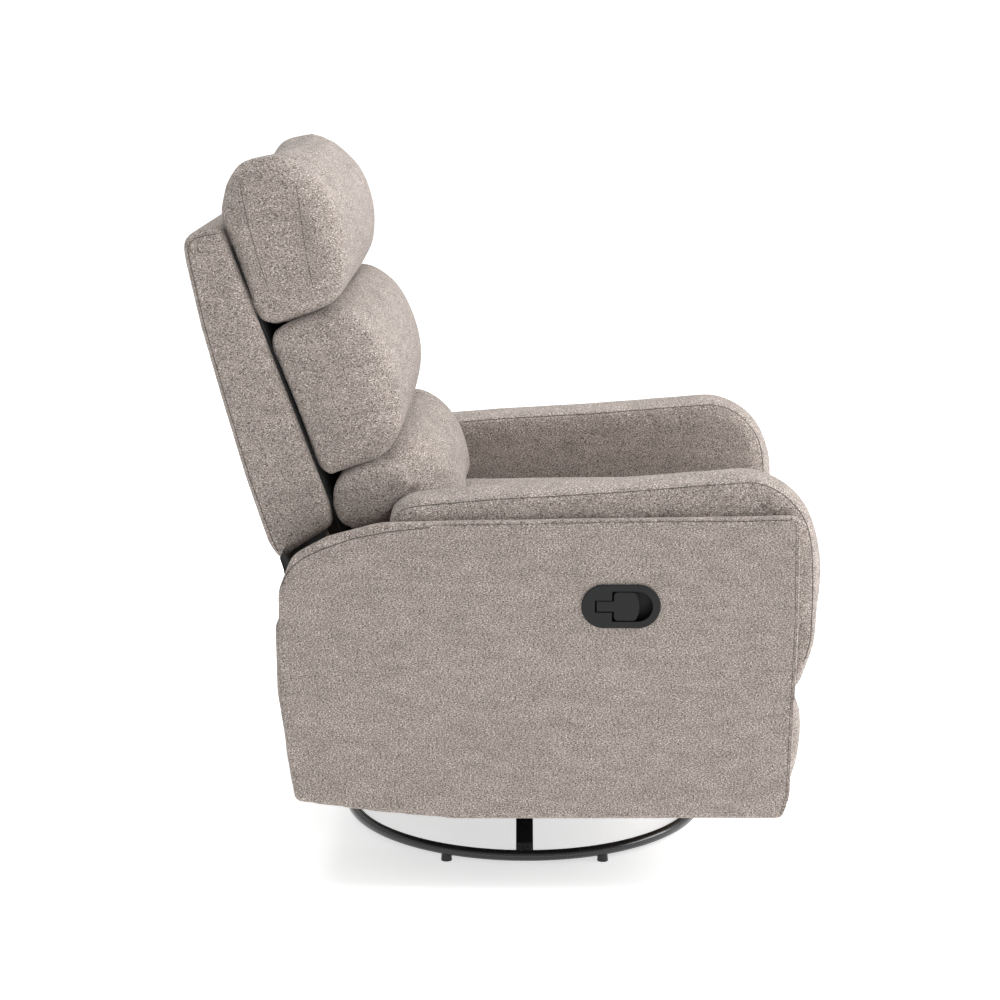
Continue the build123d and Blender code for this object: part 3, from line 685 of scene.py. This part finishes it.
# %% [markdown]
# ## The side panels
# A side panel is a board with a finger's thickness of padding, and its cloth is pulled tight over the edge.
# The right one has a hole for the latch's cup, which a boolean cuts out of the finished pad.

# %% Side panels
panel_outline = rounded_corners([
    (-320, 139, 13), (-331, 210, 120), (-338, 350, 120), (-338, 440, 45), (-318, 490, 35), (-270, 516, 45),
    (-200, 535, 80), (-100, 538, 60), (372, 546, 9), (374, 400, 60), (368, 150, 40), (358, 115, 4),
    (200, 115, 0), (-100, 114, 60), (-200, 123, 60),
])
panel_inner, panel_outer = 368.5, 389.0
panels = {}
for side, sign in (("right", -1), ("left", 1)):
    panel = sewn_form(f"side_cover_{side}", panel_outline, panel_outline, sign * panel_inner,
                      sign * panel_outer, 3.0, steps=6)
    stuff(panel, voxel=5.0, cap=0.0, soften=2)
    panels[side] = panel

bezel_low, bezel_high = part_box("latch_bezel")
bezel_centre = (bezel_low + bezel_high) / 2
hole_length, hole_height = 99.0, 52.0
hole_round = hole_height / 2 - 0.1
punch_from, punch_to = -400, -360
latch_forward = (axis_y - bezel_centre.y) / MM
latch_up = bezel_centre.z / MM
hole_outline = rounded_corners([
    (latch_forward - hole_length / 2, latch_up - hole_height / 2, hole_round),
    (latch_forward - hole_length / 2, latch_up + hole_height / 2, hole_round),
    (latch_forward + hole_length / 2, latch_up + hole_height / 2, hole_round),
    (latch_forward + hole_length / 2, latch_up - hole_height / 2, hole_round),
], steps=10)
punch = cut_out("punch", hole_outline, punch_from, punch_to)
apply_modifier(panels["right"], "BOOLEAN", operation="DIFFERENCE", object=punch, solver="EXACT")
bpy.data.objects.remove(punch)
for side in panels:
    finish_piece(panels[side], "seat_frame", "upholstery", cover_cloth, f"side_panel_{side}")

# %% [markdown]
# ## Seat and footrest
# The seat cushion lies between the arms and turns down over the front rail. The footrest is a padded board
# that hangs below it and closes the front of the chair.

# %% Seat cushion
seat_half = half_width("seat_cushion")
seat_middle = smooth_loop([
    (-188, 399), (60, 397), (300, 397), (308, 380), (310, 330), (344, 309), (372, 308), (390, 340),
    (398, 390), (392, 444), (356, 474), (250, 482), (100, 482), (-60, 479), (-186, 474), (-189, 440),
])
seat_side = smooth_loop([
    (-187, 400), (60, 398), (300, 398), (308, 380), (310, 330), (344, 311), (370, 312), (386, 342),
    (392, 390), (385, 438), (350, 462), (250, 466), (100, 466), (-60, 464), (-186, 462), (-188, 440),
])
seat = sewn_form("seat_cover", seat_middle, seat_side, -seat_half, seat_half, 16.0)
resting_below = 0.404  # the cushion's underside lies on the springs, so the cloth is held up to here
stuff(seat, cap=8.0, held=lambda x, y, z: z < resting_below)
finish_piece(seat, "seat_frame", "upholstery", cover_cloth, "seat_cushion")

# %% [markdown]
# The footrest's cushion is pulled round its board, so its rear face is flat and held, and its ends are
# nearly as full as its middle.

# %% Footrest cushion
foot_half = half_width("footrest_pad")
foot_middle = smooth_loop([
    (329, 131), (352, 130), (370, 148), (381, 184), (385, 226), (383, 264), (372, 289), (352, 297),
    (329, 295), (329, 240), (329, 185),
])
foot_side = smooth_loop([
    (329, 133), (350, 133), (366, 150), (376, 186), (380, 226), (377, 262), (367, 285), (350, 293),
    (329, 293), (329, 240), (329, 185),
])
footrest = sewn_form("footrest_cover", foot_middle, foot_side, -foot_half, foot_half, 12.0, fullness=6.0)
held_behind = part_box("footrest_board")[0].y - 4 * MM
stuff(footrest, cap=6.0, held=lambda x, y, z: y > held_behind)
finish_piece(footrest, "footrest", "upholstery", cover_cloth, "footrest_pad")

# %% [markdown]
# ## The rear of the chair
# A thin padded skirt closes the rear between the side panels. Above it a flap of black stretch cloth joins
# the seat frame to the tilting back; its black is painted shade of that slot, and it is given no body. The
# dust covers under the seat are thin black cloth that is stapled tight.

# %% Rear skirt
skirt_half = half_width("rear_skirt")
skirt_outline = rounded_corners([
    (-308, 146, 3), (-325, 146, 4), (-345, 290, 60), (-346, 388, 5), (-331, 393, 4), (-322, 290, 0),
])
skirt = sewn_form("skirt_cover", skirt_outline, skirt_outline, -skirt_half, skirt_half, 3.0)
stuff(skirt, voxel=5.0, cap=0.0)
finish_piece(skirt, "seat_frame", "upholstery", cover_cloth, "rear_skirt")

# %% [markdown]
# Thin black cloth does three jobs here. It lines the gap behind the pillows, it closes the slot between the
# tilting back and the seat frame, and it keeps dust out from below. On the lining and the flap the black is
# painted shade: dark sheets put where those gaps lie in shadow. Each of these is one sheet: a grid is added
# at its size, its points are put along a side-view line, and a Solidify modifier gives it a thickness.

# %% Black cloth
cloth_thick = 1.2


def black_sheet(name, line, x_from, x_to, columns=24):
    """A sheet of cloth across the chair, along a side-view line.

    Returns the sheet and the line's length in metres.
    """
    rows = len(line) - 1
    deselect()
    bpy.ops.mesh.primitive_grid_add(x_subdivisions=columns, y_subdivisions=rows, size=1)
    piece = bpy.context.object
    piece.name = piece.data.name = name
    for number, vertex in enumerate(piece.data.vertices):
        row, column = divmod(number, columns + 1)
        across = x_from + (x_to - x_from) * column / columns
        vertex.co = (across * MM, *at(*line[row]))
    apply_modifier(piece, "SOLIDIFY", thickness=cloth_thick * MM, offset=0.0)
    bpy.ops.object.shade_smooth()
    length = sum((Vector(b) - Vector(a)).length for a, b in zip(line, line[1:])) * MM
    return piece, length


def black_material_for(piece, body=None, *nodes):
    """Gives a sheet the black cloth's finish and, if one is given, its body, and hides the CAD nodes that it
    stands for.
    """
    # On the lining and the flap this black finish is painted shade of the gaps that they fill; on the dust
    # covers it is the cloth's own colour.
    piece.data.materials.clear()
    piece.data.materials.append(dust_cloth)
    if body:
        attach(piece, body)
    if nodes:
        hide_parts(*nodes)


# %% [markdown]
# The rails are planed softwood: broad rings, stretched along the grain, in two pale browns.

# %% Timber
timber, timber_tree, timber_shader = new_material("softwood")
timber_place = add_node(timber_tree, "TexCoord").outputs["Object"]
stretched = add_node(timber_tree, "Mapping", inputs={"Scale": (9.0, 1.2, 9.0)})
timber_tree.links.new(timber_place, stretched.inputs["Vector"])
rings = add_node(timber_tree, "TexWave", inputs={"Scale": 3.0, "Distortion": 6.0, "Detail": 3.0})
timber_tree.links.new(stretched.outputs["Vector"], rings.inputs["Vector"])
early_wood, late_wood = (0.62, 0.42, 0.24, 1), (0.45, 0.27, 0.13, 1)
wood_tone = ramp(timber_tree, rings.outputs["Fac"], [(0.1, early_wood), (0.9, late_wood)])
timber_tree.links.new(wood_tone, timber_shader.inputs["Base Color"])
set_inputs(timber_shader, {"Roughness": 0.7})
bump(timber_tree, timber_shader, rings.outputs["Fac"], 0.3, 0.4)

# %% [markdown]
# Each CAD node comes with a plain material that has its slot's name, so the name says which finish it takes.

# %% Finishes of the CAD nodes
finishes = {
    "upholstery": cover_cloth, "black_steel": black_steel, "zinc_steel": zinc_steel,
    "glide_plastic": glide_plastic, "timber": timber, "black_plastic": black_plastic,
    "dust_cloth": dust_cloth,
}
for node in frame["nodes"].values():
    slot = node.data.materials[0].name
    node.data.materials.clear()
    node.data.materials.append(finishes[slot])
print("finished", len(frame["nodes"]), "nodes")

# %% [markdown]
# The lining, a black sheet of painted shade, follows the board behind the pillows. The flap, black as
# painted shade of its slot, hangs in a nearly straight line from the shell's lower edge to the skirt's top,
# and the dust covers follow the panels' lower edges.

# %% Lining, flap and dust covers
lining_line = [(-400, 902), (-360, 792), (-310, 655), (-268, 541), (-259, 510), (-240, 462)]
lining_half = 300
# The lining's black is painted shade of the gap behind the pillows.
painted_shade_lining, lining_length = black_sheet("back_lining_painted_shade", lining_line, -lining_half, lining_half)
black_material_for(painted_shade_lining, "back")

flap_half = half_width("rear_skirt") - 4
flap_line = [(-327, 372), (-327, 392), (-327, 410), (-327, 428), (-328, 446), (-331, 466), (-336, 482)]
# The flap's black is painted shade of the slot between the back and the seat frame.
painted_shade_flap, flap_length = black_sheet("rear_flap_painted_shade", flap_line, -flap_half, flap_half)
black_material_for(painted_shade_flap)
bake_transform(painted_shade_flap)

dust_line = [(-306, 148), (-250, 138), (-200, 130), (-100, 121), (40, 120), (200, 121), (344, 122)]
dust_inner, dust_outer = 236, 366
for side, sign in (("right", -1), ("left", 1)):
    dust, dust_length = black_sheet(f"dust_cover_{side}", dust_line, sign * dust_inner, sign * dust_outer, 8)
    black_material_for(dust, "seat_frame", "dust_covers")

# %% [markdown]
# ## Seams and welts
# The seams are what make the pads read as sewn. An arm has two, under the edges of its top strip. A panel
# has one along its round shoulder, and a welt with a thin seam inside it along its top and front edges.

# %% Arm and panel seams
def seam(name, piece, points, body="seat_frame", radius=0.9):
    """A sunken line of thread on a cover, coloured dark as painted shade of its groove."""
    tube = lay_line(name, piece, points, radius, sink=0.2)
    finish_piece(tube, body, "upholstery", seam_thread_painted_shade)


def lay_welt(name, piece, points):
    """A covered cord along an edge, in the same cloth as the cover."""
    tube = lay_line(name, piece, points, radius=2.0, sink=0.4)
    finish_piece(tube, "seat_frame", "upholstery", cover_cloth)


per_span = 4  # the steps that smooth_loop makes between two points
strip_spans = len(arm_crown) - 2
seam_inset = 2.0
thin_seam = 0.6
arm_seam_line = [
    point - normal * (crown_drop(point) + seam_inset)
    for point, normal in list(zip(arm_middle, outward(arm_middle)))[1:per_span * strip_spans]
]
shoulder = [(-336, 448), (-324, 471), (-303, 487), (-279, 499), (-234, 515), (-189, 524), (-130, 531)]
rim = [(-125, 535), (100, 539), (358, 542), (366, 535), (368, 400), (362, 150), (355, 124)]
welt = [(-200, 533), (-100, 537), (100, 541), (362, 545), (371, 537), (372, 400), (366, 148), (358, 122)]
outer_face, welt_x = panel_outer + 1, panel_outer - 1
for side, sign in (("right", -1), ("left", 1)):
    for place, x in (("inner", arm_inner + 1), ("outer", arm_outer - 1)):
        seam(f"arm_seam_{place}_{side}", arms[side], side_points(arm_seam_line, sign * x))
    panel = panels[side]
    seam(f"panel_shoulder_seam_{side}", panel, side_points(dense(shoulder), sign * outer_face))
    lay_welt(f"panel_welt_{side}", panel, side_points(dense(welt), sign * welt_x))
    seam(f"panel_rim_seam_{side}", panel, side_points(dense(rim), sign * outer_face), radius=thin_seam)

# %% [markdown]
# The shell has one seam round each side, a little inside its rear edge and its top. The headrest's gussets
# have two short ones each, where the cloth is stitched through.

# %% Back seams
rear_edge = [
    (-346, 478), (-382, 580), (-413, 693), (-439, 793), (-457, 880), (-460, 902), (-449, 915), (-418, 922),
]
for side, sign in (("right", -1), ("left", 1)):
    seam(f"shell_seam_{side}", shell, side_points(dense(rear_edge), sign * shell_half), "back")
    for number, run in enumerate(headrest_seams):
        stitched = side_points(dense(run), sign * headrest_half)
        seam(f"headrest_seam_{side}_{number}", headrest, stitched, "back", radius=thin_seam)

# %% [markdown]
# ## The room
# The floor and the background are plain white, and the light is soft: a white sky all round, a large window
# in front of the chair and a little above it, and a wide pale ceiling.

# %% Floor, light and camera
deselect()
bpy.ops.mesh.primitive_plane_add(size=60, location=(0, 0, 0))
floor = bpy.context.object
floor.name = "floor"
floor_white, floor_tree, floor_shader = new_material("floor_white")
set_inputs(floor_shader, {"Base Color": (0.93, 0.93, 0.93, 1), "Roughness": 0.9, "Specular IOR Level": 0.0,
                          "Emission Color": (1, 1, 1, 1), "Emission Strength": 0.6})
floor.data.materials.append(floor_white)

world = bpy.data.worlds.new("white_room")
scene.world = world
world.use_nodes = True
sky = world.node_tree.nodes["Background"]
ray = world.node_tree.nodes.new("ShaderNodeLightPath")
seen_extra, sky_light = 0.6, 0.56  # the backdrop looks brighter than the light that it gives
strength = world.node_tree.nodes.new("ShaderNodeMath")
strength.operation = "MULTIPLY_ADD"
strength.inputs[1].default_value = seen_extra
strength.inputs[2].default_value = sky_light
world.node_tree.links.new(ray.outputs["Is Camera Ray"], strength.inputs[0])
world.node_tree.links.new(strength.outputs[0], sky.inputs["Strength"])
sky.inputs["Color"].default_value = (1, 1, 1, 1)


def area_light(name, place, target, size, watts):
    """A square lamp, in metres and watts, that faces a target."""
    lamp = bpy.data.lights.new(name, "AREA")
    lamp.shape = "SQUARE"
    lamp.size = size
    lamp.energy = watts
    holder = bpy.data.objects.new(name, lamp)
    holder.location = place
    holder.rotation_euler = (Vector(target) - Vector(place)).to_track_quat("-Z", "Y").to_euler()
    scene.collection.objects.link(holder)


area_light("front_window", (-0.3, -3.4, 2.4), (0, 0, 0.6), 2.6, 150)
area_light("ceiling", (0, 0, 4.5), (0, 0, 0), 4.0, 120)

scene.view_settings.view_transform = "Standard"
camera_data = bpy.data.cameras.new("camera")
camera_data.lens = 81.09
camera_data.sensor_width = 36.0
camera = bpy.data.objects.new("camera", camera_data)
camera.location = (-3.3606, axis_y + 0.00987, 1.1998)
camera.rotation_euler = Vector((0.97817, 0.00817, -0.20764)).to_track_quat("-Z", "Y").to_euler()
scene.collection.objects.link(camera)
scene.camera = camera
